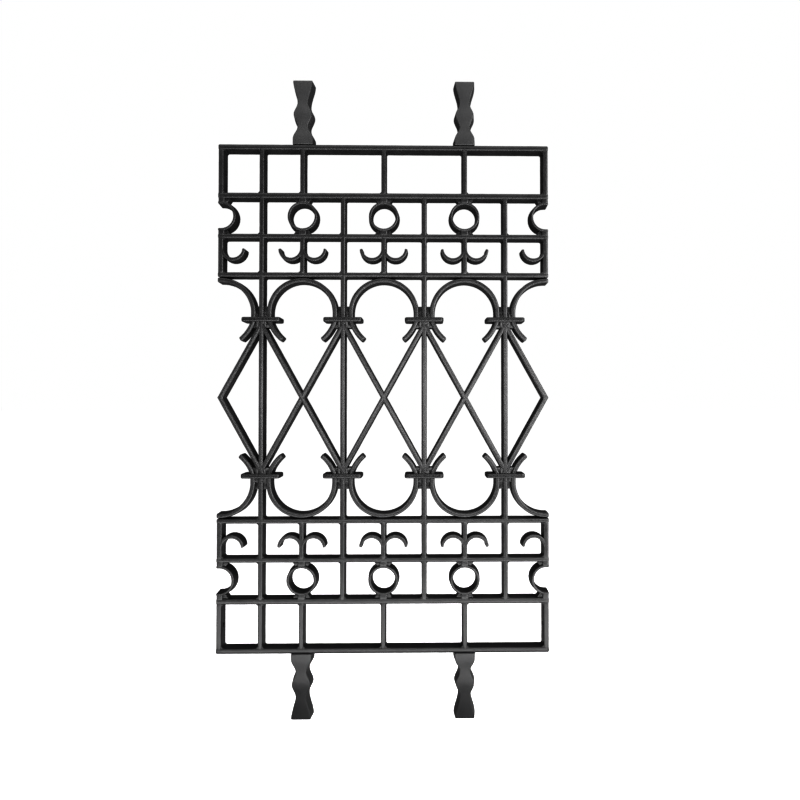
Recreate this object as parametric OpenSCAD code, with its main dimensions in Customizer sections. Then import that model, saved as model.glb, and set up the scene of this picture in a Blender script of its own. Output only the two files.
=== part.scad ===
// Iron balcony railing panel: straight rails and uprights, rings, hooks and
// arches gathered by collars, crossed diagonals and a shaped foot or tang at
// each fixing point.
// Origin: centre of the end face of the left foot. +X runs along the railing
// towards its right end, +Z up, and the street side faces -Y.

/* [Panel] */
// Distance between the centres of two neighbouring bays
bay_pitch = 122.5; // [104:0.5:148]
// Height over the top and bottom rails
panel_h = 766; // [720:1:920]
// Depth of every bar, front to back
bar_depth = 25; // [16:0.5:32]

/* [Rails] */
// Thickness of the top and bottom rails
edge_rail_t = 9; // [6:0.5:14]
// Thickness of the rails next to the rings
ring_rail_t = 9.6; // [6:0.2:14]
// Thickness of the rails beside the hooks and over the arches
inner_rail_t = 8.3; // [6:0.1:12]
// Clear height of the strut row
strut_row_h = 64.2; // [40:0.2:80]
// Clear height of the ring row
ring_row_h = 52.6; // [50:0.2:70]
// Clear height of the hook row
hook_row_h = 50; // [42:0.2:70]

/* [Bars] */
// Width of the uprights, struts and stems
upright_w = 8.3; // [6:0.1:10]
// Width of the bars that close the panel's two ends
end_bar_w = 9; // [6:0.5:14]
// Width of the crossed diagonals
diagonal_w = 8.4; // [6:0.1:10]
// Thickness of a diagonal's tail beside the upright
tail_t = 3.4; // [2:0.1:5]
// Height of a diagonal's tail above the middle of its collar
tail_h = 11; // [8:0.5:13]
// Gap between a diagonal and the flared foot of an arch beside it
fit_gap = 0.2; // [0.1:0.1:0.5]
// Drop from the middle of a collar to the point where two diagonals would meet
meet_drop = 7; // [0:0.5:10]

/* [Rings and hooks] */
// Outside radius of a ring
ring_r = 24; // [20:0.5:25]
// Radius of the hole in a ring
ring_hole_r = 16.8; // [10:0.2:18]
// Width of the neck that joins a ring to its rail
neck_w = 14; // [8:1:20]
// Inside radius of a hook
hook_r = 13.8; // [10:0.2:16]
// Thickness of a hook at the middle of its bend
hook_t = 6.6; // [4:0.2:8]
// Thickness of a hook at its tip
hook_tip_t = 4.8; // [3:0.2:6]
// Height of a hook's tip above the middle of the hook row
hook_rise = 11; // [8:0.5:14]

/* [Arches and collars] */
// Thickness of an arch
arch_t = 8.8; // [5:0.2:9]
// Depth by which an arch's crown is flattened against its rail
crown_flat = 0.5; // [0.3:0.1:1.5]
// Length of the straight leg from an arch's springing to the middle of its collar
leg_h = 10.4; // [8:0.1:14]
// Radius of the flared foot of an arch
flare_r = 57; // [45:1:70]
// Lean of the flared foot where it leaves the collar, in degrees
flare_start = 18; // [10:1:22]
// Lean of the flared foot at its end, in degrees
flare_end = 52; // [40:1:58]
// Width of a collar
collar_w = 58.4; // [52:0.2:66]
// Thickness of a collar
collar_t = 7; // [5:0.5:9]
// How far a collar stands proud of the bars, front and back
collar_proud = 5.5; // [2:0.5:8]
// Corner radius of a collar
collar_r = 5; // [2:0.5:8]

/* [Feet and fixings] */
// Height of a foot or tang
foot_h = 97; // [70:1:120]
// Width of a foot at its shoulder
shoulder_w = 34; // [26:0.5:40]
// Width of a foot at its waists
waist_w = 19.6; // [14:0.2:24]
// Width of a foot at its swelling
swell_w = 31.4; // [26:0.2:36]
// Width of a foot at its end face
foot_end_w = 33; // [24:0.5:40]
// Diameter of the bolt hole in an end bar
bolt_d = 7; // [5:0.5:12]

/* [Hidden] */
$fn = 96;

// Half the width of an upright, and half the depth of a bar
upright_half = upright_w / 2;
half_depth = bar_depth / 2;
// The panel's outer faces, measured from its middle
end_x = 2 * bay_pitch + end_bar_w / 2;
edge_z = panel_h / 2;

// Undersides and tops of the upper rails, measured from the panel's middle
strut_row_top = edge_z - edge_rail_t;
strut_row_bottom = strut_row_top - strut_row_h;
ring_row_top = strut_row_bottom - ring_rail_t;
ring_row_bottom = ring_row_top - ring_row_h;
hook_row_top = ring_row_bottom - inner_rail_t;
hook_row_bottom = hook_row_top - hook_row_h;
arch_rail_under = hook_row_bottom - inner_rail_t;

// Centres across the panel: bays, uprights between them, and panel ends
bay_xs = [-bay_pitch, 0, bay_pitch];
upright_xs = [for (i = [-1.5 : 1 : 1.5]) i * bay_pitch];
end_bar_x = 2 * bay_pitch;

// Arch: its leg stands beside the diagonal's tail, which stands beside the upright
leg_inner = upright_half + tail_t;
leg_outer = leg_inner + arch_t;
arch_r_out = bay_pitch / 2 - leg_inner;
arch_r_in = arch_r_out - arch_t;
arch_z = arch_rail_under - arch_r_out + crown_flat;
collar_z = arch_z - leg_h;
leg_x = (leg_inner + leg_outer) / 2;
flare_drop = collar_t / 2 + arch_t / 2 * sin(flare_start);
leg_bottom = collar_z - collar_t / 2 - arch_t * sin(flare_start);

// Diagonals: their axes meet the upright's axis a little below the collar
diagonal_run = bay_pitch / 2;
meet_z = collar_z - meet_drop;
diagonal_lean = atan(diagonal_run / meet_z);
diagonal_len = 2 * collar_z / cos(diagonal_lean);
diagonal_half_x = diagonal_w / 2 / cos(diagonal_lean);
// How far below the collar's middle a diagonal's outer edge passes the leg's inner face
tail_drop = meet_drop + (leg_inner - diagonal_half_x) * meet_z / diagonal_run;

// Rings and hooks
ring_z = (ring_row_top + ring_row_bottom) / 2;
hook_z = (hook_row_top + hook_row_bottom) / 2 + hook_rise;
// The bend bites this far into the stem's face, so that the two blend
hook_bite = 0.3;
// The hook's outside circle, set lower and inward so that the hook tapers to its tip
hook_outer_r = (hook_r * 2 + hook_tip_t * 2 + hook_bite) / 2;
hook_outer_drop = hook_r + hook_t - hook_outer_r;
hook_outer_shift = hook_outer_r - hook_r - hook_tip_t;

// Feet: heights of the shoulder, waists and swelling, measured from the rail
foot_xs = [-bay_pitch, bay_pitch];
shoulder_at = 0.09 * foot_h;
upper_waist_at = 0.28 * foot_h;
swell_at = 0.475 * foot_h;
lower_waist_at = 0.65 * foot_h;
foot_stations = [
    [0, shoulder_w],
    [shoulder_at, shoulder_w],
    [upper_waist_at, waist_w],
    [swell_at, swell_w],
    [lower_waist_at, waist_w],
    [foot_h, foot_end_w]
];
foot_steps = 6;

// Bolt holes: in the middle of the strut row, through each end bar
bolt_z = (strut_row_top + strut_row_bottom) / 2;

// Longer than anything it cuts
cut = 2 * (panel_h + 5 * bay_pitch);

iron = [0.16, 0.16, 0.17];
worn_iron = [0.22, 0.22, 0.23];

// ---- placing ----

// Moves a shape from the panel's middle to the part's own frame
module in_panel() {
    translate([bay_pitch, 0, foot_h + panel_h / 2]) children();
}

// Turns an upper piece into its lower twin
module flipped() {
    mirror([0, 0, 1]) children();
}

// ---- shapes shared by the bars ----

// Bar of full depth from x0 to x1 and from z0 to z1
module bar(x0, x1, z0, z1) {
    translate([x0, -half_depth, z0]) cube([x1 - x0, bar_depth, z1 - z0]);
}

// Stretch of a round bend in the plane of the panel, centred on the origin
module bend(r, t, from, to) {
    rotate([90, 0, 0])
        rotate_extrude(start = from, angle = to - from)
            translate([r - t / 2, -half_depth]) square([t, bar_depth]);
}

// The half of the panel's depth in front of (-1) or behind (1) the middle
module depth_half(side) {
    translate([-cut / 2, side < 0 ? -cut : 0, -cut / 2]) cube(cut);
}

// Everything between the panel's two outer end faces
module panel_span() {
    translate([-end_x, -cut / 2, -cut / 2]) cube([2 * end_x, cut, cut]);
}

// ---- rails ----

// Rail with its lower face at z, notched at the front for the uprights
module rail(z, t, notched) {
    color(iron) difference() {
        bar(-end_x, end_x, z, z + t);
        if (notched)
            for (x = upright_xs)
                translate([x - upright_half, -bar_depth, z - t])
                    cube([upright_w, bar_depth, 3 * t]);
    }
}

module edge_rail() rail(strut_row_top, edge_rail_t, false);
module ring_rail() rail(strut_row_bottom - ring_rail_t, ring_rail_t, false);
module hook_rail() rail(hook_row_top, inner_rail_t, true);
module arch_rail() rail(arch_rail_under, inner_rail_t, true);

// ---- uprights ----

// Upright between the two ring rails, notched at the back for the rails it crosses
module upright(x) {
    color(iron) difference() {
        bar(x - upright_half, x + upright_half, -ring_row_top, ring_row_top);
        for (side = [0, 1], z = [hook_row_top, arch_rail_under])
            mirror([0, 0, side])
                translate([x - upright_w, 0, z]) cube([2 * upright_w, bar_depth, inner_rail_t]);
    }
}

// ---- arches ----

// Round-topped block of the given radius and depth, centred over a bay
module dome(r, depth, bottom) {
    translate([0, 0, arch_z]) rotate([90, 0, 0]) cylinder(h = depth, r = r, center = true);
    translate([-r, -depth / 2, bottom]) cube([2 * r, depth, arch_z - bottom]);
}

// The arch's round bend and straight legs, its crown flattened against the rail
module bow() {
    difference() {
        dome(arch_r_out, bar_depth, leg_bottom);
        dome(arch_r_in, 2 * bar_depth, leg_bottom - arch_r_out);
        translate([-cut / 2, -cut / 2, arch_rail_under]) cube(cut);
        translate([-cut / 2, -cut / 2, leg_bottom - cut]) cube(cut);
    }
}

// Flared foot below the left leg, grown by a gap where it is used to clear a neighbour
module flare(gap) {
    translate([leg_x - bay_pitch / 2 + flare_r * cos(flare_start), 0,
               collar_z - flare_drop + flare_r * sin(flare_start)])
        bend(flare_r, arch_t + 2 * gap, 180 + flare_start, 180 + flare_end);
}

module arch(x) {
    color(iron) translate([x, 0, 0]) {
        bow();
        for (side = [0, 1]) mirror([side, 0, 0]) flare(0);
    }
}

// The half of an arch that lies inside the panel's end
module half_arch(x) {
    intersection() { arch(x); panel_span(); }
}

// ---- collars ----

// Rounded plate around an upright's bundle of bars
module collar(x) {
    w = collar_w - 2 * collar_r;
    d = bar_depth + 2 * collar_proud - 2 * collar_r;
    translate([x, 0, collar_z - collar_t / 2]) linear_extrude(collar_t) difference() {
        union() {
            square([w + 2 * collar_r, d], center = true);
            square([w, d + 2 * collar_r], center = true);
            for (sx = [-1, 1], sy = [-1, 1])
                translate([sx * w / 2, sy * d / 2]) circle(collar_r);
        }
        square([2 * leg_outer, bar_depth], center = true);
    }
}

module collars() {
    color(worn_iron) for (x = upright_xs) collar(x);
}

// ---- diagonals ----

// Tail of a diagonal, standing through the collar at the bay's upper left
module tail() {
    translate([-bay_pitch / 2, 0, collar_z])
        rotate([90, 0, 0]) linear_extrude(bar_depth, center = true)
            polygon([
                [upright_half, -tail_drop - tail_t],
                [leg_inner, -tail_drop],
                [leg_inner, tail_h - tail_t],
                [upright_half, tail_h]
            ]);
}

// Bar that falls from the collar at the bay's upper left to the one at its lower right
module falling_bar() {
    rotate([0, 90 - diagonal_lean, 0])
        cube([diagonal_len, bar_depth, diagonal_w], center = true);
}

// The same bar fitted between uprights, collars and the feet of the arches
module fitted_bar() {
    difference() {
        intersection() { falling_bar(); bay_space(); }
        for (turn = [0, 180]) rotate([0, turn, 0]) {
            flare(fit_gap);
            bar(leg_inner - bay_pitch / 2 - fit_gap, 0, leg_bottom - fit_gap, collar_z);
        }
    }
}

// Space between a bay's two uprights and between the upper and lower collars
module bay_space() {
    z = collar_z - collar_t / 2;
    bar(-bay_pitch / 2 + upright_half, bay_pitch / 2 - upright_half, -z, z);
}

// Diagonal that falls to the right; where it crosses it keeps one half of its depth
module crossed_bar(kept_side) {
    difference() {
        fitted_bar();
        intersection() { mirror([1, 0, 0]) falling_bar(); depth_half(-kept_side); }
    }
    for (turn = [0, 180]) rotate([0, turn, 0]) tail();
}

module front_diagonal(x) {
    color(iron) translate([x, 0, 0]) crossed_bar(-1);
}

module back_diagonal(x) {
    color(iron) translate([x, 0, 0]) mirror([1, 0, 0]) crossed_bar(1);
}

// Two half diagonals that meet in a point at the panel's left end
module chevron() {
    color(iron) intersection() {
        translate([-end_bar_x, 0, 0]) for (k = [0, 1]) mirror([0, 0, k]) mirror([1, 0, 0]) {
            intersection() { fitted_bar(); bar(-bay_pitch, bay_pitch, 0, collar_z); }
            tail();
        }
        panel_span();
    }
}

// ---- rings ----

// Ring with a neck to the rail above it and to the rail below it
module ring(x) {
    neck_h = ring_row_h / 2;
    translate([x, 0, ring_z]) difference() {
        union() {
            rotate([90, 0, 0]) cylinder(h = bar_depth, r = ring_r, center = true);
            bar(-neck_w / 2, neck_w / 2, -neck_h, neck_h);
        }
        rotate([90, 0, 0]) cylinder(h = 2 * bar_depth, r = ring_hole_r, center = true);
    }
}

module rings() {
    color(iron) {
        for (x = bay_xs) ring(x);
        for (x = [-end_bar_x, end_bar_x]) intersection() { ring(x); panel_span(); }
    }
}

// ---- hooks ----

// Hook that springs from the right face of a bar whose half width is given
module hook(bar_half) {
    translate([bar_half + hook_r - hook_bite, 0, hook_z]) difference() {
        translate([-hook_outer_shift, 0, -hook_outer_drop]) rotate([90, 0, 0])
            cylinder(h = bar_depth, r = hook_outer_r, center = true);
        rotate([90, 0, 0]) cylinder(h = 2 * bar_depth, r = hook_r, center = true);
        translate([-cut / 2, -cut / 2, 0]) cube(cut);
        translate([-cut - hook_r, -cut / 2, -cut / 2]) cube(cut);
    }
}

// Stem with a hook on each side
module hooked_stem(x) {
    translate([x, 0, 0]) {
        bar(-upright_half, upright_half, hook_row_bottom, hook_row_top);
        for (side = [0, 1]) mirror([side, 0, 0]) hook(upright_half);
    }
}

module hooks() {
    color(iron) for (x = bay_xs) hooked_stem(x);
}

// ---- struts and end bars ----

module struts() {
    color(iron) for (x = concat([upright_xs[0]], bay_xs))
        bar(x - upright_half, x + upright_half, strut_row_bottom, strut_row_top);
}

// End bar in the strut row, with its bolt hole, and in the hook row, with one hook
module end_bar(side) {
    w = end_bar_w / 2;
    color(iron) mirror([side > 0 ? 1 : 0, 0, 0]) translate([-end_bar_x, 0, 0]) {
        difference() {
            bar(-w, w, strut_row_bottom, strut_row_top);
            translate([0, 0, bolt_z]) rotate([0, 90, 0])
                cylinder(h = 2 * end_bar_w, d = bolt_d, center = true);
        }
        bar(-w, w, hook_row_bottom, hook_row_top);
        hook(w);
    }
}

// ---- feet and tangs ----

// Smooth step from a to b as t goes from 0 to 1
function eased(a, b, t) = a + (b - a) * (1 - cos(180 * t)) / 2;

// Points down one side of a foot, from the rail to its end face
function foot_side(sign) = [
    for (i = [0 : len(foot_stations) - 2], k = [0 : foot_steps - 1])
        let (a = foot_stations[i], b = foot_stations[i + 1], t = k / foot_steps)
        if (k == 0 || a[1] != b[1])
            [sign * eased(a[1], b[1], t) / 2, -a[0] - (b[0] - a[0]) * t],
    [sign * foot_end_w / 2, -foot_h]
];

function reversed(list) = [for (i = [len(list) - 1 : -1 : 0]) list[i]];

// Shaped foot below the bottom rail, standing on its end face
module foot(x) {
    color(worn_iron) translate([x, 0, -edge_z])
        rotate([90, 0, 0]) linear_extrude(bar_depth, center = true)
            polygon(concat(foot_side(1), reversed(foot_side(-1))));
}

// Two of the same shape above the top rail, which carry the handrail
module tangs() {
    flipped() for (x = foot_xs) foot(x);
}

// ---- nodes ----

in_panel() edge_rail();  // top_rail
in_panel() ring_rail();  // upper_ring_rail
in_panel() hook_rail();  // upper_hook_rail
in_panel() arch_rail();  // upper_arch_rail
in_panel() flipped() arch_rail();  // lower_arch_rail
in_panel() flipped() hook_rail();  // lower_hook_rail
in_panel() flipped() ring_rail();  // lower_ring_rail
in_panel() flipped() edge_rail();  // bottom_rail
in_panel() upright(upright_xs[0]);  // left_upright
in_panel() upright(upright_xs[1]);  // centre_left_upright
in_panel() upright(upright_xs[2]);  // centre_right_upright
in_panel() upright(upright_xs[3]);  // right_upright
in_panel() collars();  // upper_collars
in_panel() flipped() collars();  // lower_collars
in_panel() half_arch(-end_bar_x);  // upper_left_half_arch
in_panel() arch(bay_xs[0]);  // upper_left_arch
in_panel() arch(bay_xs[1]);  // upper_centre_arch
in_panel() arch(bay_xs[2]);  // upper_right_arch
in_panel() half_arch(end_bar_x);  // upper_right_half_arch
in_panel() flipped() half_arch(-end_bar_x);  // lower_left_half_arch
in_panel() flipped() arch(bay_xs[0]);  // lower_left_arch
in_panel() flipped() arch(bay_xs[1]);  // lower_centre_arch
in_panel() flipped() arch(bay_xs[2]);  // lower_right_arch
in_panel() flipped() half_arch(end_bar_x);  // lower_right_half_arch
in_panel() front_diagonal(bay_xs[0]);  // left_bay_front_diagonal
in_panel() back_diagonal(bay_xs[0]);  // left_bay_back_diagonal
in_panel() front_diagonal(bay_xs[1]);  // centre_bay_front_diagonal
in_panel() back_diagonal(bay_xs[1]);  // centre_bay_back_diagonal
in_panel() front_diagonal(bay_xs[2]);  // right_bay_front_diagonal
in_panel() back_diagonal(bay_xs[2]);  // right_bay_back_diagonal
in_panel() chevron();  // left_chevron
in_panel() mirror([1, 0, 0]) chevron();  // right_chevron
in_panel() rings();  // upper_rings
in_panel() flipped() rings();  // lower_rings
in_panel() hooks();  // upper_hooks
in_panel() flipped() hooks();  // lower_hooks
in_panel() struts();  // upper_struts
in_panel() flipped() struts();  // lower_struts
in_panel() end_bar(-1);  // upper_left_end_bar
in_panel() end_bar(1);  // upper_right_end_bar
in_panel() flipped() end_bar(-1);  // lower_left_end_bar
in_panel() flipped() end_bar(1);  // lower_right_end_bar
in_panel() tangs();  // handrail_tangs
in_panel() foot(foot_xs[0]);  // left_foot
in_panel() foot(foot_xs[1]);  // right_foot
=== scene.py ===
import math

import bmesh
import bpy
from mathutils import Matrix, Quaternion, Vector


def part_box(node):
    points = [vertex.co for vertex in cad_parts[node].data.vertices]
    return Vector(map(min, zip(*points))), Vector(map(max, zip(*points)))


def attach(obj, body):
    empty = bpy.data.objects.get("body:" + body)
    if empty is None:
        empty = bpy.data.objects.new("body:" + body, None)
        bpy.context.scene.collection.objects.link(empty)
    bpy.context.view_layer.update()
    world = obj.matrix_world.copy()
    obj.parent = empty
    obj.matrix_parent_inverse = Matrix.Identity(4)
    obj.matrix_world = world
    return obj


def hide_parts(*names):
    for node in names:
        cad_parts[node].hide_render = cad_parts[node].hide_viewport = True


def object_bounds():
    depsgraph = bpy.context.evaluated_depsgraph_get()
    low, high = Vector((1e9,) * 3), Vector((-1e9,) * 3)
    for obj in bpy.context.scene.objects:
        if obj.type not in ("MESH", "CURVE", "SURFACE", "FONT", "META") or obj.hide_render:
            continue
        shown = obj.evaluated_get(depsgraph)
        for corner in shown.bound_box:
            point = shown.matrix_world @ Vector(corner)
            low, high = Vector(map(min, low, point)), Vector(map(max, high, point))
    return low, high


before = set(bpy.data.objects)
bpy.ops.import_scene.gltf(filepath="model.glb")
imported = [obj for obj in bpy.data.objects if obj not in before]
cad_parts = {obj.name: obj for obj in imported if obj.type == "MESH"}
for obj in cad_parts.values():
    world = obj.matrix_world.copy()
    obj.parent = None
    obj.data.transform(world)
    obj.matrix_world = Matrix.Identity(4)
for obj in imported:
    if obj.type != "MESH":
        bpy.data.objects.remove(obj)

cadLow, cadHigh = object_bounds()
mm = 0.001


# places and sizes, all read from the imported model

def middleOf(node):
    low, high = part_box(node)
    return (low + high) / 2


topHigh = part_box("top_rail")[1]
panelMiddle = Vector((middleOf("top_rail").x, 0, (topHigh.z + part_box("bottom_rail")[0].z) / 2))
halfDepth = topHigh.y
endFace = topHigh.x - panelMiddle.x


def heights(node):
    low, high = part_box(node)
    return low.z - panelMiddle.z, high.z - panelMiddle.z


edgeRail = heights("top_rail")
ringRail = heights("upper_ring_rail")
hookRail = heights("upper_hook_rail")
archRail = heights("upper_arch_rail")
collarSpan = heights("upper_collars")
collarZ = sum(collarSpan) / 2

uprightNames = ["left_upright", "centre_left_upright", "centre_right_upright", "right_upright"]
uprightXs = [middleOf(name).x - panelMiddle.x for name in uprightNames]
bayPitch = uprightXs[1] - uprightXs[0]
bayXs = [-bayPitch, 0, bayPitch]
uprightLow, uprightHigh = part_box("left_upright")
uprightHalf = (uprightHigh.x - uprightLow.x) / 2
endBarX = 2 * bayPitch
endBarHalf = endFace - endBarX
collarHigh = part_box("upper_collars")[1]
collarHalf = collarHigh.x - panelMiddle.x - uprightXs[3]
collarDepth = collarHigh.y


# modelling

nearlyParallel = 0.99          # cosine, about 8 degrees
tiny = 0.01 * mm               # points closer than this are one point


def clearSelection():
    if bpy.context.mode != "OBJECT":
        bpy.ops.object.mode_set(mode="OBJECT")
    bpy.ops.object.select_all(action="DESELECT")


def makeActive(piece):
    clearSelection()
    piece.select_set(True)
    bpy.context.view_layer.objects.active = piece


def enter(piece, kind="EDGE"):
    makeActive(piece)
    bpy.ops.object.mode_set(mode="EDIT")
    bpy.ops.mesh.select_mode(type=kind)


def leave():
    bpy.ops.object.mode_set(mode="OBJECT")


def pick(piece, kind, wanted):
    # kind is verts, edges or faces; wanted says yes or no for each of them
    bpy.ops.mesh.select_mode(type={"verts": "VERT", "edges": "EDGE", "faces": "FACE"}[kind])
    bpy.ops.mesh.select_all(action="DESELECT")
    mesh = bmesh.from_edit_mesh(piece.data)
    for item in getattr(mesh, kind):
        if wanted(item):
            item.select_set(True)
    mesh.select_flush_mode()
    bmesh.update_edit_mesh(piece.data)


def runsAlong(edge, axis):
    # true for an edge that is nearly parallel to an axis
    way = edge.verts[1].co - edge.verts[0].co
    return way.length > 0 and abs(way[axis]) > nearlyParallel * way.length


def faceTurn(piece):
    # turns every face outwards
    enter(piece, "FACE")
    bpy.ops.mesh.select_all(action="SELECT")
    bpy.ops.mesh.remove_doubles(threshold=tiny)
    bpy.ops.mesh.normals_make_consistent(inside=False)
    leave()


def copyOf(piece, name, move=(0, 0, 0), mirror=None):
    makeActive(piece)
    bpy.ops.object.duplicate(linked=False)
    twin = bpy.context.object
    twin.name = name
    twin.location = Vector(move)
    if mirror:
        twin.scale = Vector(mirror)
    bpy.ops.object.transform_apply(location=True, rotation=True, scale=True)
    if mirror and mirror[0] * mirror[1] * mirror[2] < 0:
        faceTurn(twin)
    return twin


def joined(pieces, name):
    makeActive(pieces[0])
    for piece in pieces[1:]:
        piece.select_set(True)
    if len(pieces) > 1:
        bpy.ops.object.join()
    bpy.context.object.name = name
    return bpy.context.object


def throwAway(*pieces):
    for piece in pieces:
        bpy.data.objects.remove(piece)


casting = {
    "arris": 2.2 * mm,         # radius of a worn edge
    "draft": 0.5 * mm,         # each side leans in this much from the back face to the front
    "station": 4 * mm,         # spacing of the loops along a bar
    "wave": 0.3 * mm,          # depth of the hollows left by the sand mould
    "waveLength": 9 * mm,
    "step": 0.04 * mm,         # crossing bars differ this much in depth
    "sharp": 0.6,              # an edge that turns by more radians than this is rounded
    "depthLoops": 4,           # loops between the front and the back
    "webArris": 0.8 * mm,
    "shadeTo": 40,             # degrees; past this an edge is shaded as a corner
}


def blockOf(name, low, high):
    low, high = Vector(low), Vector(high)
    centre, size = (low + high) / 2, high - low
    clearSelection()
    bpy.ops.mesh.primitive_cube_add(size=1, location=centre)
    piece = bpy.context.object
    piece.name = name
    piece.data.name = name
    bpy.ops.object.mode_set(mode="EDIT")
    bpy.ops.transform.resize(value=size, center_override=centre)
    leave()
    bpy.ops.object.transform_apply(location=True, rotation=True, scale=True)
    return piece


def leanIn(piece, axis, centre, half, lean):
    # draws the front corners in along one axis, so that the casting leaves its mould
    pick(piece, "verts", lambda v: v.co.y < 0)
    scale = [1, 1, 1]
    scale[axis] = (half - lean) / half
    pivot = [0, 0, 0]
    pivot[axis] = centre
    bpy.ops.transform.resize(value=scale, center_override=pivot)


def roundOff(piece, radius):
    # rounds the sharp edges, then adds loops from front to back
    enter(piece)
    pick(piece, "edges", lambda e: len(e.link_faces) == 2
         and e.calc_face_angle(0) > casting["sharp"])
    bpy.ops.mesh.bevel(offset=radius, segments=3, affect="EDGES")
    pick(piece, "edges", lambda e: runsAlong(e, 1) and e.calc_length() > halfDepth / 2)
    bpy.ops.mesh.subdivide(number_cuts=casting["depthLoops"])
    leave()
    return piece


def castBar(name, x0, x1, z0, z1, rank=0):
    # straight bar; the longer side is its length, and a higher rank lies a little deeper
    depth = halfDepth - rank * casting["step"]
    piece = blockOf(name, (x0, -depth, z0), (x1, depth, z1))
    along, across = (0, 2) if x1 - x0 > z1 - z0 else (2, 0)
    low, high = (z0, z1) if across == 2 else (x0, x1)
    enter(piece)
    leanIn(piece, across, (low + high) / 2, (high - low) / 2, casting["draft"])
    leave()
    roundOff(piece, casting["arris"])
    enter(piece)
    pick(piece, "edges", lambda e: runsAlong(e, along))
    bpy.ops.mesh.subdivide(number_cuts=max(1, round(max(x1 - x0, z1 - z0) / casting["station"])))
    leave()
    return piece


def sectionAt(name, centre, width, upright, draft):
    # outline of a bar cut across; upright says that the bar runs up and down there
    clearSelection()
    bpy.ops.mesh.primitive_plane_add(size=1, location=(0, 0, 0))
    piece = bpy.context.object
    piece.name = name
    piece.data.name = name
    bpy.ops.object.mode_set(mode="EDIT")
    bpy.ops.transform.resize(value=(width, 2 * halfDepth - 2 * casting["step"], 1),
                             center_override=(0, 0, 0))
    leanIn(piece, 0, 0, width / 2, draft)
    bpy.ops.mesh.select_mode(type="FACE")
    bpy.ops.mesh.select_all(action="SELECT")
    bpy.ops.mesh.delete(type="ONLY_FACE")
    leave()
    if not upright:
        piece.rotation_euler = (0, math.radians(-90), 0)
    piece.location = centre
    bpy.ops.object.transform_apply(location=True, rotation=True, scale=True)
    return piece


def sweep(piece, start, heading, moves, closeStart=True):
    # drags the open outline along runs and turns, heading given as (x, z), and closes its ends
    place, way = Vector((start[0], 0, start[1])), Vector((heading[0], 0, heading[1]))
    enter(piece)
    bpy.ops.mesh.select_all(action="SELECT")
    for kind, size, *turn in moves:
        if kind == "line":
            steps = max(1, round(size / casting["station"]))
            for step in range(steps):
                bpy.ops.mesh.extrude_region_move(
                    TRANSFORM_OT_translate={"value": way * size / steps})
            place = place + way * size
        else:
            degrees = turn[0]
            aside = Vector((way.z, 0, -way.x)) * math.copysign(size, degrees)
            centre = place + aside
            steps = max(3, round(math.radians(abs(degrees)) * size / casting["station"]))
            bpy.ops.mesh.spin(steps=steps, angle=-math.radians(degrees), dupli=False,
                              center=centre, axis=(0, 1, 0))   # spin turns the other way
            turned = Quaternion((0, 1, 0), math.radians(degrees))
            place = centre + turned @ (-aside)
            way = turned @ way
    bpy.ops.mesh.select_all(action="SELECT")
    bpy.ops.mesh.remove_doubles(threshold=tiny)
    pick(piece, "edges", lambda e: e.is_boundary and (closeStart or max(
        (v.co - Vector((start[0], v.co.y, start[1]))).length for v in e.verts) > halfDepth))
    bpy.ops.mesh.fill_holes(sides=0)
    leave()
    faceTurn(piece)
    return piece


def cutAway(piece, point, outward):
    # slices off what lies beyond a plane and closes the cut
    enter(piece)
    bpy.ops.mesh.select_all(action="SELECT")
    bpy.ops.mesh.bisect(plane_co=point, plane_no=outward, use_fill=True, clear_outer=True)
    leave()
    faceTurn(piece)


def webOf(name, near, far, nearZ, farZ, recess):
    # thin wall between bars, set back from both faces; near and far are its left and right
    # ends at the heights nearZ and farZ
    depth = halfDepth - recess
    piece = blockOf(name, (near[0], -depth, min(nearZ, farZ)), (near[1], depth, max(nearZ, farZ)))
    middle = (near[0] + near[1]) / 2
    enter(piece)
    for side, shift in ((-1, far[0] - near[0]), (1, far[1] - near[1])):
        pick(piece, "verts", lambda v: abs(v.co.z - farZ) < tiny and side * (v.co.x - middle) > 0)
        bpy.ops.transform.translate(value=(shift, 0, 0))
    bpy.ops.mesh.select_mode(type="EDGE")
    bpy.ops.mesh.select_all(action="SELECT")
    bpy.ops.mesh.bevel(offset=casting["webArris"], segments=2, affect="EDGES")
    leave()
    return piece


sandTexture = bpy.data.textures.new("sandMould", "CLOUDS")
sandTexture.noise_scale = casting["waveLength"]
sandTexture.noise_depth = 2
finished = []


def worn(piece, wave):
    # shallow hollows, only inwards, and smooth shading up to the arrises
    makeActive(piece)
    hollows = piece.modifiers.new("hollows", "DISPLACE")
    hollows.texture = sandTexture
    hollows.texture_coords = "LOCAL"
    hollows.mid_level = 1.0
    hollows.strength = wave
    bpy.ops.object.modifier_apply(modifier=hollows.name)
    bpy.ops.object.shade_smooth_by_angle(angle=math.radians(casting["shadeTo"]))


def finish(piece, nodes, wave=casting["wave"]):
    # puts a piece made about the panel's middle into the part's own frame
    makeActive(piece)
    piece.location = panelMiddle
    bpy.ops.object.transform_apply(location=True, rotation=True, scale=True)
    worn(piece, wave)
    finished.append((piece, nodes))


def finishBoth(piece, upperNodes, lowerNodes, upperName, lowerName, wave=casting["wave"]):
    # the piece above the panel's middle and its mirror image below
    lower = copyOf(piece, lowerName, mirror=(1, 1, -1))
    piece.name = upperName
    finish(piece, upperNodes, wave)
    finish(lower, lowerNodes, wave)


# rails, uprights and struts

railing = {"bite": 4 * mm}     # how far a bar runs into the rail that it joins

for name, twin, span in [("top_rail", "bottom_rail", edgeRail),
                         ("upper_ring_rail", "lower_ring_rail", ringRail),
                         ("upper_hook_rail", "lower_hook_rail", hookRail),
                         ("upper_arch_rail", "lower_arch_rail", archRail)]:
    rail = castBar("rail", -endFace, endFace, *span)
    finishBoth(rail, [name], [twin], name + "_casting", twin + "_casting")

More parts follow.
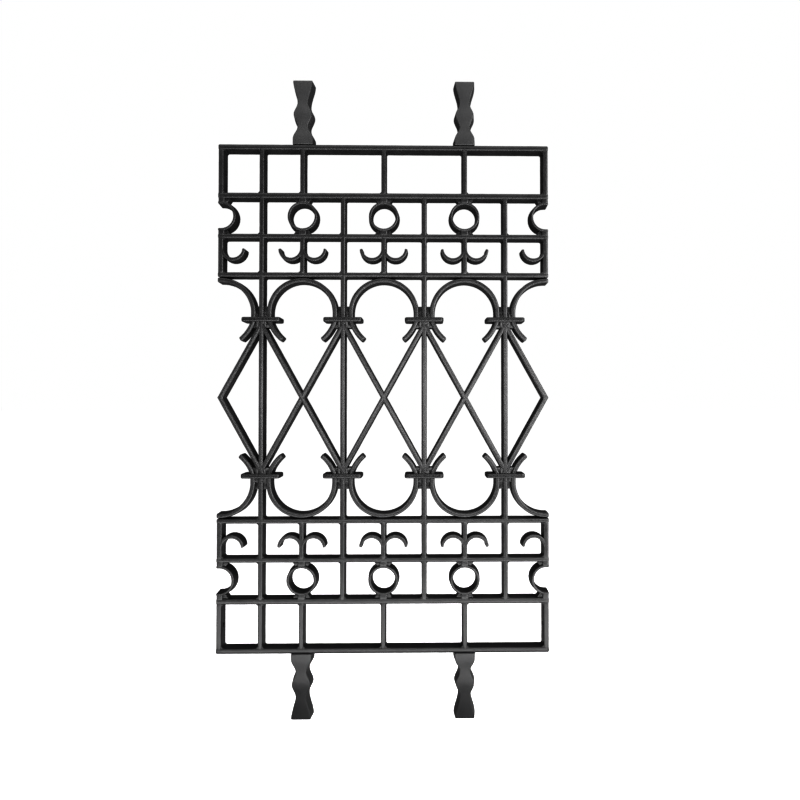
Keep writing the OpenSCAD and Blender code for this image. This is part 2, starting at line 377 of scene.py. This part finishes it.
for name, x in zip(uprightNames, uprightXs):
    reach = ringRail[0] + railing["bite"]
    upright = castBar(name + "_casting", x - uprightHalf, x + uprightHalf, -reach, reach, rank=1)
    finish(upright, [name])

strutXs = [uprightXs[0]] + bayXs
struts = [castBar("strut", x - uprightHalf, x + uprightHalf, ringRail[1] - railing["bite"],
                  edgeRail[0] + railing["bite"], rank=1) for x in strutXs]
finishBoth(joined(struts, "struts"), ["upper_struts"], ["lower_struts"],
           "upper_struts_casting", "lower_struts_casting")
print("rails, uprights and struts are cast")


# hollow corners where the bars meet

corners = {
    "radius": 1.7 * mm,
    "recess": 1.5 * mm,        # behind the bars' faces
    "hollow": 0.086,           # bevel profile that is a quarter circle turned inwards
    "sunk": 0.8 * mm,          # a corner starts this far inside its bars
    "reach": 0.97,             # share of the radius that the hollow takes
    "wave": 0.1 * mm,
}


def cornerOf(x, z, right, up):
    # fills the corner at x, z towards the right or left and up or down
    depth = halfDepth - corners["recess"]
    size, sunk = corners["radius"], corners["sunk"]
    piece = blockOf("corner", (-sunk, -depth, -sunk), (size, depth, size))
    enter(piece)
    pick(piece, "edges", lambda e: runsAlong(e, 1) and min(
        min(v.co.x, v.co.z) for v in e.verts) > size / 2)
    bpy.ops.mesh.bevel(offset=corners["reach"] * size, segments=4, affect="EDGES",
                       profile=corners["hollow"])
    leave()
    corner = copyOf(piece, "corner", move=(x, 0, z), mirror=(right, 1, up))
    throwAway(piece)
    return corner


def cornersAlong(x, half, low, high, sides=(-1, 1)):
    # the corners at both ends of an upright bar between two rails
    return [cornerOf(x + side * half, z, side, up)
            for side in sides for z, up in ((low, 1), (high, -1)) if z is not None]


cornerHalf = uprightHalf - casting["draft"] / 2
allCorners = []
for x in strutXs:
    allCorners += cornersAlong(x, cornerHalf, ringRail[1], edgeRail[0])
for x in uprightXs:
    allCorners += cornersAlong(x, cornerHalf, hookRail[1], ringRail[0])
    allCorners += cornersAlong(x, cornerHalf, archRail[1], hookRail[0])
    allCorners += cornersAlong(x, cornerHalf, None, archRail[0])
for x in bayXs:
    allCorners += cornersAlong(x, cornerHalf, archRail[1], hookRail[0])
for side in (-1, 1):
    inner = -side
    allCorners += cornersAlong(side * endBarX, endBarHalf, ringRail[1], edgeRail[0], (inner,))
    allCorners += cornersAlong(side * endBarX, endBarHalf, archRail[1], hookRail[0], (inner,))
finishBoth(joined(allCorners, "corners"), [], [], "upper_corners", "lower_corners",
           corners["wave"])
print("corners are filled")


# arches with their flared feet

arches = {
    "thickness": 8.8 * mm,
    "draft": 0.8 * mm,
    "sink": 0.5 * mm,          # the crown is pressed this far into its rail
    "bendIn": (15 * mm, 18),   # radius and degrees of the turn inside the collar
    "flare": (57 * mm, 34),    # radius and degrees of the flared foot
    "legBelow": 1.5 * mm,      # the leg stays straight down to this far above the collar's middle
}

archLow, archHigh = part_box("upper_centre_arch")
archOuter = (archHigh.x - archLow.x) / 2
archMid = archOuter - arches["thickness"] / 2
archZ = archRail[0] - archOuter + arches["sink"]
legRun = archZ - collarZ - arches["legBelow"]
legInner = bayPitch / 2 - archOuter
archMoves = [("turn", archMid, 90), ("line", legRun),
             ("turn", *arches["bendIn"]), ("turn", *arches["flare"])]


def halfArch(name, lead):
    # from lead before the crown down to the right-hand flared foot
    start = (-lead, archZ + archMid)
    piece = sectionAt(name, (start[0], 0, start[1]), arches["thickness"], False, arches["draft"])
    moves = ([("line", lead)] if lead else []) + archMoves
    return sweep(piece, start, (1, 0), moves, closeStart=bool(lead))


archHalf = halfArch("arch", 0)
makeActive(archHalf)
twin = archHalf.modifiers.new("twin", "MIRROR")
twin.use_mirror_merge = True
twin.merge_threshold = 2 * tiny
bpy.ops.object.modifier_apply(modifier=twin.name)
roundOff(archHalf, casting["arris"])
for name, x in zip(["left_arch", "centre_arch", "right_arch"], bayXs):
    arch = copyOf(archHalf, "arch", move=(x, 0, 0))
    finishBoth(arch, ["upper_" + name], ["lower_" + name],
               "upper_" + name + "_casting", "lower_" + name + "_casting")
throwAway(archHalf)

endArch = roundOff(halfArch("endArch", endBarHalf), casting["arris"])
for name, side in [("left_half_arch", 1), ("right_half_arch", -1)]:
    arch = copyOf(endArch, "arch", move=(-side * endBarX, 0, 0), mirror=(side, 1, 1))
    finishBoth(arch, ["upper_" + name], ["lower_" + name],
               "upper_" + name + "_casting", "lower_" + name + "_casting")
throwAway(endArch)
print("arches are cast")


# crossed diagonals and the chevrons at the panel's ends

diagonals = {
    "width": 8.4 * mm,
    "meetDrop": 7 * mm,        # two diagonals would meet this far below the middle of a collar
    "tailHeight": 11 * mm,     # a tail's point above the middle of its collar
    "tailDrop": 12 * mm,       # and its lower end below it
    "tailSlope": 3.4 * mm,
    "tailFit": 0.3 * mm,       # a tail is this much wider on each side than its gap
    "tailArris": 0.9 * mm,
}

fallAngle = math.atan2(bayPitch / 2, collarZ - diagonals["meetDrop"])
fallLength = 2 * collarZ / math.cos(fallAngle)


def fallingBar(name, rank, low):
    # bar that falls from upper left to lower right through the middle of a bay
    half = diagonals["width"] / 2
    piece = castBar(name, -half, half, low, fallLength / 2, rank=rank)
    piece.rotation_euler = (0, -fallAngle, 0)
    makeActive(piece)
    bpy.ops.object.transform_apply(location=True, rotation=True, scale=True)
    return piece


def tail(x, rank):
    # pointed end that stands up beside the upright at the bay's upper left
    x0, x1 = x + uprightHalf - diagonals["tailFit"], x + legInner + diagonals["tailFit"]
    depth = halfDepth - rank * casting["step"]
    top = collarZ + diagonals["tailHeight"]
    piece = blockOf("tail", (x0, -depth, collarZ - diagonals["tailDrop"]), (x1, depth, top))
    enter(piece)
    pick(piece, "verts", lambda v: v.co.z > top - mm and v.co.x > (x0 + x1) / 2)
    bpy.ops.transform.translate(value=(0, 0, -diagonals["tailSlope"]))
    bpy.ops.mesh.select_mode(type="EDGE")
    bpy.ops.mesh.select_all(action="SELECT")
    bpy.ops.mesh.bevel(offset=diagonals["tailArris"], segments=2, affect="EDGES")
    leave()
    return piece


def turnedHalf(piece):
    # the same piece at the other end of its diagonal
    twin = copyOf(piece, "twin")
    twin.rotation_euler = (0, math.pi, 0)
    makeActive(twin)
    bpy.ops.object.transform_apply(location=True, rotation=True, scale=True)
    return twin


for bay, x in zip(["left_bay", "centre_bay", "right_bay"], bayXs):
    for part, side, rank in [("front_diagonal", 1, 2), ("back_diagonal", -1, 3)]:
        point = tail(-bayPitch / 2, rank)
        piece = joined([fallingBar("diagonal", rank, -fallLength / 2), point, turnedHalf(point)],
                       "diagonal")
        whole = copyOf(piece, bay + "_" + part + "_casting", move=(x, 0, 0),
                       mirror=(side, 1, 1))
        throwAway(piece)
        finish(whole, [bay + "_" + part])

bar = fallingBar("chevron", 2, -diagonals["width"])
cutAway(bar, (0, 0, 0), (0, 0, -1))
enter(bar, "FACE")
pick(bar, "faces", lambda f: all(abs(v.co.z) < tiny for v in f.verts))
bpy.ops.mesh.delete(type="ONLY_FACE")
leave()
chevron = copyOf(bar, "chevron", mirror=(-1, 1, 1))
throwAway(bar)
makeActive(chevron)
twin = chevron.modifiers.new("twin", "MIRROR")
twin.use_axis = (False, False, True)
twin.merge_threshold = 2 * tiny
bpy.ops.object.modifier_apply(modifier=twin.name)
cutAway(chevron, (-endBarHalf, 0, 0), (-1, 0, 0))
leftTail = tail(-bayPitch / 2, 2)
point = copyOf(leftTail, "tail", mirror=(-1, 1, 1))
chevron = joined([chevron, point, copyOf(point, "tail", mirror=(1, 1, -1))], "chevron")
for name, side in [("left_chevron", 1), ("right_chevron", -1)]:
    piece = copyOf(chevron, name + "_casting", move=(-side * endBarX, 0, 0),
                   mirror=(side, 1, 1))
    finish(piece, [name])
throwAway(chevron, leftTail)
print("diagonals and chevrons are cast")


# rings

rings = {
    "outer": 24 * mm,
    "hole": 16.8 * mm,
    "neck": 12 * mm,
    "draft": 1.6 * mm,
    "arris": 1.7 * mm,
    "web": (14 * mm, 9 * mm),  # half width of the wall behind a neck, at the rail and at the ring
    "webRecess": 3.5 * mm,
    "neckIn": 2.5 * mm,        # a neck starts this far out from the hole
    "webIn": 4 * mm,           # and its web this far in from the ring's outside
}

ringZ = (ringRail[0] + hookRail[1]) / 2
ringMid = (rings["outer"] + rings["hole"]) / 2
ringWall = rings["outer"] - rings["hole"]
ring = sectionAt("ring", (ringMid, 0, ringZ), ringWall, True, rings["draft"])
sweep(ring, (ringMid, ringZ), (0, -1), [("turn", ringMid, 360)])
endRing = sectionAt("endRing", (-endBarHalf, 0, ringZ + ringMid), ringWall, False, rings["draft"])
sweep(endRing, (-endBarHalf, ringZ + ringMid), (1, 0),
      [("line", endBarHalf), ("turn", ringMid, 180), ("line", endBarHalf)])


def withNecks(piece, left):
    # the ring with what ties it to its rails; left is where the panel ends
    parts = [roundOff(piece, rings["arris"])]
    atRail, atRing = rings["web"]
    half = rings["neck"] / 2
    for side, rail in ((1, ringRail[0]), (-1, hookRail[1])):
        inside = ringZ + side * (rings["hole"] + rings["neckIn"])
        beyond = rail + side * railing["bite"]
        parts.append(castBar("neck", max(-half, left), half, min(inside, beyond),
                             max(inside, beyond), rank=4))
        parts.append(webOf("web", (max(-atRail, left), atRail), (max(-atRing, left), atRing),
                           rail + side * mm, ringZ + side * (rings["outer"] - rings["webIn"]),
                           rings["webRecess"]))
    return joined(parts, piece.name)


ring = withNecks(ring, -bayPitch)
endRing = withNecks(endRing, -endBarHalf)
allRings = [copyOf(ring, "ring", move=(x, 0, 0)) for x in bayXs]
allRings += [copyOf(endRing, "ring", move=(-side * endBarX, 0, 0), mirror=(side, 1, 1))
             for side in (1, -1)]
throwAway(ring, endRing)
finishBoth(joined(allRings, "rings"), ["upper_rings"], ["lower_rings"],
           "upper_rings_casting", "lower_rings_casting")
print("rings are cast")


# hooks on their stems, and the bars at the panel's ends

hooks = {
    "inside": 13.8 * mm,
    "thickness": 6.6 * mm,     # at the middle of the bend
    "tip": 5.3 * mm,
    "bite": 0.3 * mm,          # the bend starts this far inside the stem's face
    "rise": 11 * mm,           # the tips above the middle of the row
    "arris": 1.5 * mm,
}

hookZ = (hookRail[0] + archRail[1]) / 2 + hooks["rise"]
hookOuter = hooks["inside"] + hooks["tip"] + hooks["bite"] / 2
hookShift = hookOuter - hooks["inside"] - hooks["tip"]
hookDrop = hooks["inside"] + hooks["thickness"] - hookOuter


def hookOn(barHalf):
    # crescent that springs from a bar's right face and tapers to its tip
    middle = Vector((barHalf + hooks["inside"] - hooks["bite"], 0, hookZ))
    centreLine = hooks["inside"] + hooks["thickness"] / 2
    start = (middle.x - centreLine, hookZ)
    piece = sectionAt("hook", (start[0], 0, hookZ), hooks["thickness"], True, casting["draft"])
    sweep(piece, start, (0, -1), [("turn", centreLine, -180)])
    enter(piece)
    pick(piece, "verts", lambda v: Vector((v.co.x - middle.x, v.co.z - hookZ)).length > centreLine)
    grown = hookOuter / (hooks["inside"] + hooks["thickness"])
    bpy.ops.transform.resize(value=(grown, 1, grown), center_override=middle)
    bpy.ops.transform.translate(value=(-hookShift, 0, -hookDrop))
    leave()
    return roundOff(piece, hooks["arris"])


stem = castBar("stem", -uprightHalf, uprightHalf, archRail[1] - railing["bite"],
               hookRail[0] + railing["bite"], rank=1)
hook = hookOn(uprightHalf)
pair = joined([stem, hook, copyOf(hook, "hook", mirror=(-1, 1, 1))], "hookedStem")
stems = [copyOf(pair, "hookedStem", move=(x, 0, 0)) for x in bayXs]
throwAway(pair)
finishBoth(joined(stems, "hooks"), ["upper_hooks"], ["lower_hooks"],
           "upper_hooks_casting", "lower_hooks_casting")

endBars = {"bolt": 3.5 * mm}   # radius of the hole for the fixing bolt

upperBar = castBar("endBar", -endBarHalf, endBarHalf, ringRail[1] - railing["bite"],
                   edgeRail[0] + railing["bite"], rank=1)
clearSelection()
bpy.ops.mesh.primitive_cylinder_add(vertices=32, radius=endBars["bolt"], depth=4 * endBarHalf,
                                    location=(0, 0, (edgeRail[0] + ringRail[1]) / 2),
                                    rotation=(0, math.pi / 2, 0))
drill = bpy.context.object
makeActive(upperBar)
hole = upperBar.modifiers.new("hole", "BOOLEAN")
hole.object = drill
hole.operation = "DIFFERENCE"
bpy.ops.object.modifier_apply(modifier=hole.name)
throwAway(drill)
lowerBar = castBar("endBar", -endBarHalf, endBarHalf, archRail[1] - railing["bite"],
                   hookRail[0] + railing["bite"], rank=1)
endBar = joined([upperBar, lowerBar, hookOn(endBarHalf)], "endBar")
for name, side in [("left_end_bar", 1), ("right_end_bar", -1)]:
    piece = copyOf(endBar, "endBar", move=(-side * endBarX, 0, 0), mirror=(side, 1, 1))
    finishBoth(piece, ["upper_" + name], ["lower_" + name],
               "upper_" + name + "_casting", "lower_" + name + "_casting")
throwAway(endBar)
print("hooks and end bars are cast")


# collars, and the walls that tie the bars together above and below them

collars = {
    "corner": 5 * mm,
    "edge": 2 * mm,
    "groove": 0.9 * mm,
    "grooveBand": (0.2, 0.3),      # where its lips are, as shares of the flat edge's height
    "loops": 11,
    "wave": 0.1 * mm,
    "bed": (6 * mm, 1.6 * mm),     # height above the collar, and how far back from the bars
    "slot": (17 * mm, 6 * mm),     # the same for the walls between the legs and the upright
    "apron": (9 * mm, 2.2 * mm),   # the same below the collar
    "apronHalf": (16 * mm, 20 * mm),   # half its width at the collar and at its lower end
    "bedIn": 1.5 * mm,             # the bed ends this far inside the legs
    "tieWave": 0.15 * mm,
}

collar = blockOf("collar", (-collarHalf, -collarDepth, collarSpan[0]),
                 (collarHalf, collarDepth, collarSpan[1]))
enter(collar)
pick(collar, "edges", lambda e: runsAlong(e, 2))
bpy.ops.mesh.bevel(offset=collars["corner"], segments=6, affect="EDGES")
pick(collar, "edges", lambda e: all(abs(v.co.z - collarZ) > mm for v in e.verts)
     and abs(e.verts[0].co.z - e.verts[1].co.z) < tiny)
bpy.ops.mesh.bevel(offset=collars["edge"], segments=3, affect="EDGES")
pick(collar, "edges", lambda e: runsAlong(e, 2) and e.calc_length() > mm)
bpy.ops.mesh.subdivide(number_cuts=collars["loops"])
flat = collarSpan[1] - collarSpan[0] - 2 * collars["edge"]
lipNear, lipFar = [share * flat for share in collars["grooveBand"]]
pick(collar, "verts", lambda v: lipNear < abs(v.co.z - collarZ) < lipFar)
bpy.ops.transform.resize(value=(1 - collars["groove"] / collarHalf,
                                1 - collars["groove"] / collarDepth, 1),
                         center_override=(0, 0, collarZ))
leave()
allCollars = [copyOf(collar, "collar", move=(x, 0, 0)) for x in uprightXs]
throwAway(collar)
finishBoth(joined(allCollars, "collars"), ["upper_collars"], ["lower_collars"],
           "upper_collars_casting", "lower_collars_casting", collars["wave"])

legOuter = legInner + arches["thickness"]
bedTop = collarSpan[1] + collars["bed"][0]
slotTop = collarSpan[1] + collars["slot"][0]
apronEnd = collarSpan[0] - collars["apron"][0]
topHalf, endHalf = collars["apronHalf"]
bed = legOuter - collars["bedIn"]
ties = []
for x in uprightXs:
    ties.append(webOf("bed", (x - bed, x + bed), (x - bed + mm, x + bed - mm),
                      collarSpan[1] - mm, bedTop, collars["bed"][1]))
    ties.append(webOf("slot", (x - legInner - mm, x + legInner + mm),
                      (x - legInner - 2 * mm, x + legInner + 2 * mm),
                      collarSpan[1] - mm, slotTop, collars["slot"][1]))
    ties.append(webOf("apron", (x - topHalf, x + topHalf), (x - endHalf, x + endHalf),
                      collarSpan[0] + mm, apronEnd, collars["apron"][1]))
finishBoth(joined(ties, "ties"), [], [], "upper_ties", "lower_ties", collars["tieWave"])
print("collars are cast")


# feet and handrail tangs

feet = {
    # share of the foot's height below its rail, and half its width there
    "outline": [(0, 17), (0.09, 17), (0.28, 9.8), (0.475, 15.7), (0.65, 9.8), (1, 16.5)],
    "draft": 2 * mm,
    "loops": 36,
    "sharp": 0.9,              # as for a bar, in radians
    "arris": 1.2 * mm,
    "wave": 0.12 * mm,
}

footLow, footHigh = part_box("left_foot")
footTop = footHigh.z - panelMiddle.z
footHeight = footHigh.z - footLow.z


def footHalf(share):
    # half width at a share of the height, eased between the outline's stations
    stations = feet["outline"]
    for (a, wideA), (b, wideB) in zip(stations, stations[1:]):
        if share <= b + 1e-6:
            eased = (1 - math.cos(math.pi * (share - a) / (b - a))) / 2
            return (wideA + (wideB - wideA) * eased) * mm


# the block is one unit wide, and each of its loops is then drawn in to its own width
foot = blockOf("foot", (-0.5, -halfDepth, -footHeight), (0.5, halfDepth, 0))
enter(foot)
pick(foot, "edges", lambda e: runsAlong(e, 2))
bpy.ops.mesh.subdivide(number_cuts=feet["loops"] - 1)
for loop in range(feet["loops"] + 1):
    share = loop / feet["loops"]
    level = -share * footHeight
    for back in (False, True):
        pick(foot, "verts", lambda v: abs(v.co.z - level) < tiny and (v.co.y > 0) == back)
        half = footHalf(share) - (0 if back else feet["draft"])
        bpy.ops.transform.resize(value=(2 * half, 1, 1), center_override=(0, 0, level))
pick(foot, "edges", lambda e: e.calc_face_angle(0) > feet["sharp"])
bpy.ops.mesh.bevel(offset=feet["arris"], segments=3, affect="EDGES")
leave()
hungFoot = copyOf(foot, "hungFoot", move=(0, 0, footTop))
for name, x in [("left_foot", -bayPitch), ("right_foot", bayPitch)]:
    finish(copyOf(hungFoot, name + "_casting", move=(x, 0, 0)), [name], feet["wave"])
tangs = joined([copyOf(hungFoot, "tang", move=(x, 0, 0), mirror=(1, 1, -1))
                for x in (-bayPitch, bayPitch)], "handrail_tangs_casting")
finish(tangs, ["handrail_tangs"], feet["wave"])
throwAway(foot, hungFoot)
print("feet and tangs are cast")


# paint

def addNode(tree, kind, settings, inputs):
    # one node with its settings, and the values or wires of its sockets
    node = tree.nodes.new(kind)
    for key, value in settings.items():
        setattr(node, key, value)
    for key, value in inputs.items():
        if isinstance(value, Wire):
            tree.links.new(value.socket, node.inputs[key])
        else:
            node.inputs[key].default_value = value
    return node


class Wire:
    # one output socket; arithmetic on it adds Math nodes
    def __init__(self, tree, socket):
        self.tree, self.socket = tree, socket

    def maths(self, operation, a, b):
        node = addNode(self.tree, "ShaderNodeMath", {"operation": operation}, {0: a, 1: b})
        return Wire(self.tree, node.outputs[0])

    def __add__(self, other):
        return self.maths("ADD", self, other)

    def __radd__(self, other):
        return self.maths("ADD", other, self)

    def __sub__(self, other):
        return self.maths("SUBTRACT", self, other)

    def __rsub__(self, other):
        return self.maths("SUBTRACT", other, self)

    def __mul__(self, other):
        return self.maths("MULTIPLY", self, other)

    def __rmul__(self, other):
        return self.maths("MULTIPLY", other, self)


def ironPaint(name, look):
    material = bpy.data.materials.new(name)
    material.use_nodes = True
    tree = material.node_tree
    tree.nodes.clear()

    def wire(kind, settings, inputs, output=0):
        return Wire(tree, addNode(tree, kind, settings, inputs).outputs[output])

    place = wire("ShaderNodeTexCoord", {}, {}, "Object")
    grain = wire("ShaderNodeTexNoise", {}, {"Vector": place, "Scale": look["grainScale"],
                                            "Detail": 5.0, "Roughness": 0.65})
    lumps = wire("ShaderNodeTexNoise", {}, {"Vector": place, "Scale": look["lumpScale"],
                                            "Detail": 3.0})
    cloud = wire("ShaderNodeTexNoise", {}, {"Vector": place, "Scale": look["cloudScale"],
                                            "Detail": 2.0})   # wide, faint change of tone
    cells = wire("ShaderNodeTexVoronoi", {}, {"Vector": place, "Scale": look["pitScale"]})
    pitMiddle, pitRim = look["pitSpan"]
    pits = wire("ShaderNodeMapRange", {"clamp": True},
                {"Value": cells, "From Min": pitMiddle, "From Max": pitRim,
                 "To Min": 1.0, "To Max": 0.0})
    darkEnd, lightEnd = look["toneSpan"]
    tone = wire("ShaderNodeMapRange", {"clamp": True},
                {"Value": 0.5 * cloud + 0.5 * grain, "From Min": darkEnd, "From Max": lightEnd,
                 "To Min": 0.0, "To Max": 1.0})
    colour = wire("ShaderNodeMix", {"data_type": "RGBA"},
                  {0: tone, 6: look["dark"], 7: look["light"]}, 2)
    gloss = look["roughness"] + look["roughnessSpread"] * (grain + lumps - 1.0)
    gloss = gloss + look["dullPits"] * pits
    height = look["grainDepth"] * grain + lumps - look["pitDepth"] * pits
    normal = wire("ShaderNodeBump", {}, {"Strength": look["bump"], "Distance": look["relief"],
                                         "Height": height})
    shader = wire("ShaderNodeBsdfPrincipled", {},
                  {"Base Color": colour, "Roughness": gloss, "Normal": normal,
                   "Specular IOR Level": look["specular"]})
    addNode(tree, "ShaderNodeOutputMaterial", {}, {"Surface": shader})
    return material


paint = {
    "dark": (0.007, 0.007, 0.0073, 1), "light": (0.016, 0.0157, 0.016, 1),
    "roughness": 0.34, "roughnessSpread": 0.16, "specular": 0.5,
    "grainScale": 1100, "lumpScale": 260, "cloudScale": 30, "pitScale": 420,
    "pitSpan": (0.08, 0.3), "toneSpan": (0.38, 0.62),   # noise values between which each fades
    "grainDepth": 0.55, "pitDepth": 0.4,   # against the lumps' 1
    "dullPits": 0.12,                      # how much rougher the pits are
    "bump": 0.19, "relief": 0.4 * mm,
}
# the tangs and feet are smoother, duller and a shade lighter
smoothPaint = dict(paint, bump=0.15, roughness=0.42, dark=(0.022, 0.022, 0.0225, 1),
                   light=(0.032, 0.0318, 0.032, 1))
castPaint = ironPaint("castPaint", paint)
tangPaint = ironPaint("tangPaint", smoothPaint)
for piece, nodes in finished:
    piece.data.materials.clear()
    smooth = any("foot" in node or "tang" in node for node in nodes)
    piece.data.materials.append(tangPaint if smooth else castPaint)
    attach(piece, "root")
    if nodes:
        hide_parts(*nodes)
print("paint is on,", len(finished), "pieces")


# floor, light and camera

studio = {
    "floorSide": 60.0, "floorDrop": 0.5 * mm,
    "backdrop": 1.0,           # the world as the lens sees it
    "roomLight": 0.10,         # the world as the iron and the floor see it
    "paleFloor": 0.94,
    "bounce": 0.32,            # the floor as the iron sees it
    "floorGlow": 0.68,         # keeps the floor as pale as the backdrop
    "floorRoughness": 0.9, "floorGloss": 0.1,
    "skylight": 1.0, "skylightSpread": 50, "skylightTilt": (-12, 14, 0),
}

clearSelection()
bpy.ops.mesh.primitive_plane_add(size=studio["floorSide"],
                                 location=(panelMiddle.x, 0, cadLow.z - studio["floorDrop"]))
floor = bpy.context.object
floor.name = "floor"
bpy.ops.object.transform_apply(location=True, rotation=True, scale=True)
floorPaint = bpy.data.materials.new("floorPaint")
floorPaint.use_nodes = True
ground = floorPaint.node_tree
floorShader = ground.nodes["Principled BSDF"]
floorShader.inputs["Roughness"].default_value = studio["floorRoughness"]
floorShader.inputs["Specular IOR Level"].default_value = studio["floorGloss"]
floorShader.inputs["Emission Strength"].default_value = studio["floorGlow"]
floorRays = addNode(ground, "ShaderNodeLightPath", {}, {})
for socket, toIron, toLens in [("Base Color", studio["bounce"], studio["paleFloor"]),
                               ("Emission Color", 0, 1)]:
    tone = addNode(ground, "ShaderNodeMix", {"data_type": "RGBA"}, {
        0: Wire(ground, floorRays.outputs["Is Camera Ray"]),
        6: (toIron, toIron, toIron, 1), 7: (toLens, toLens, toLens, 1)})
    ground.links.new(tone.outputs[2], floorShader.inputs[socket])
floor.data.materials.append(floorPaint)

world = bpy.data.worlds.new("studio")
bpy.context.scene.world = world
world.use_nodes = True
sky = world.node_tree
backdrop = sky.nodes["Background"]
backdrop.inputs["Color"].default_value = (1, 1, 1, 1)
backdrop.inputs["Strength"].default_value = studio["backdrop"]
room = addNode(sky, "ShaderNodeBackground", {},
               {"Color": (1, 1, 1, 1), "Strength": studio["roomLight"]})
rays = addNode(sky, "ShaderNodeLightPath", {}, {})
seen = addNode(sky, "ShaderNodeMixShader", {}, {
    0: Wire(sky, rays.outputs["Is Camera Ray"]), 1: Wire(sky, room.outputs[0]),
    2: Wire(sky, backdrop.outputs[0])})
sky.links.new(seen.outputs[0], sky.nodes["World Output"].inputs["Surface"])

clearSelection()
bpy.ops.object.light_add(type="SUN", location=(0, -0.6, 3),
                         rotation=[math.radians(tilt) for tilt in studio["skylightTilt"]])
skylight = bpy.context.object
skylight.name = "skylight"
skylight.data.energy = studio["skylight"]
skylight.data.angle = math.radians(studio["skylightSpread"])


def softLight(name, place, aim, size, power):
    # place is counted from the panel's middle; aim is the way that the light faces
    clearSelection()
    bpy.ops.object.light_add(type="AREA", location=panelMiddle + Vector(place))
    light = bpy.context.object
    light.name = name
    light.data.shape = "RECTANGLE"
    light.data.size, light.data.size_y = size
    light.data.energy = power
    light.rotation_euler = Vector(aim).to_track_quat("-Z", "Y").to_euler()
    light.visible_camera = False


lights = {
    # place, aim, size and power
    "rightSoftbox": ((0.95, -0.65, 0), (-1, 0.3, 0), (0.85, 1.3), 40),
    "leftSoftbox": ((-1.0, -0.65, 0), (1, 0.3, 0), (0.85, 1.3), 10),
    "highSoftbox": ((0, -0.65, 1.02), (0, 0.5, -1), (1.4, 0.8), 12),
    "lowSoftbox": ((0, -0.42, 0.012 - panelMiddle.z), (0, 0, 1), (1.3, 0.5), 15),
    "keyStrip": ((0.15, -1.2, 0), (0, 1, 0), (1.2, 0.2), 14),
}
for name, light in lights.items():
    softLight(name, *light)

camera = {
    # from the panel's middle, and how the lens is turned, raised and shifted
    "place": (60.5 * mm, -1112.5 * mm, -2.6 * mm), "yaw": -1.0, "pitch": 1.02,
    "lens": 32.87, "shift": (-0.0455, -0.0171),
    "gamma": 0.6,              # a contrasty print
}
clearSelection()
bpy.ops.object.camera_add(location=panelMiddle + Vector(camera["place"]))
eye = bpy.context.object
eye.rotation_euler = (math.radians(90 + camera["pitch"]), 0, math.radians(camera["yaw"]))
eye.data.lens = camera["lens"]
eye.data.shift_x, eye.data.shift_y = camera["shift"]
bpy.context.scene.camera = eye
bpy.context.scene.view_settings.view_transform = "Standard"
bpy.context.scene.view_settings.gamma = camera["gamma"]
print("studio is lit")
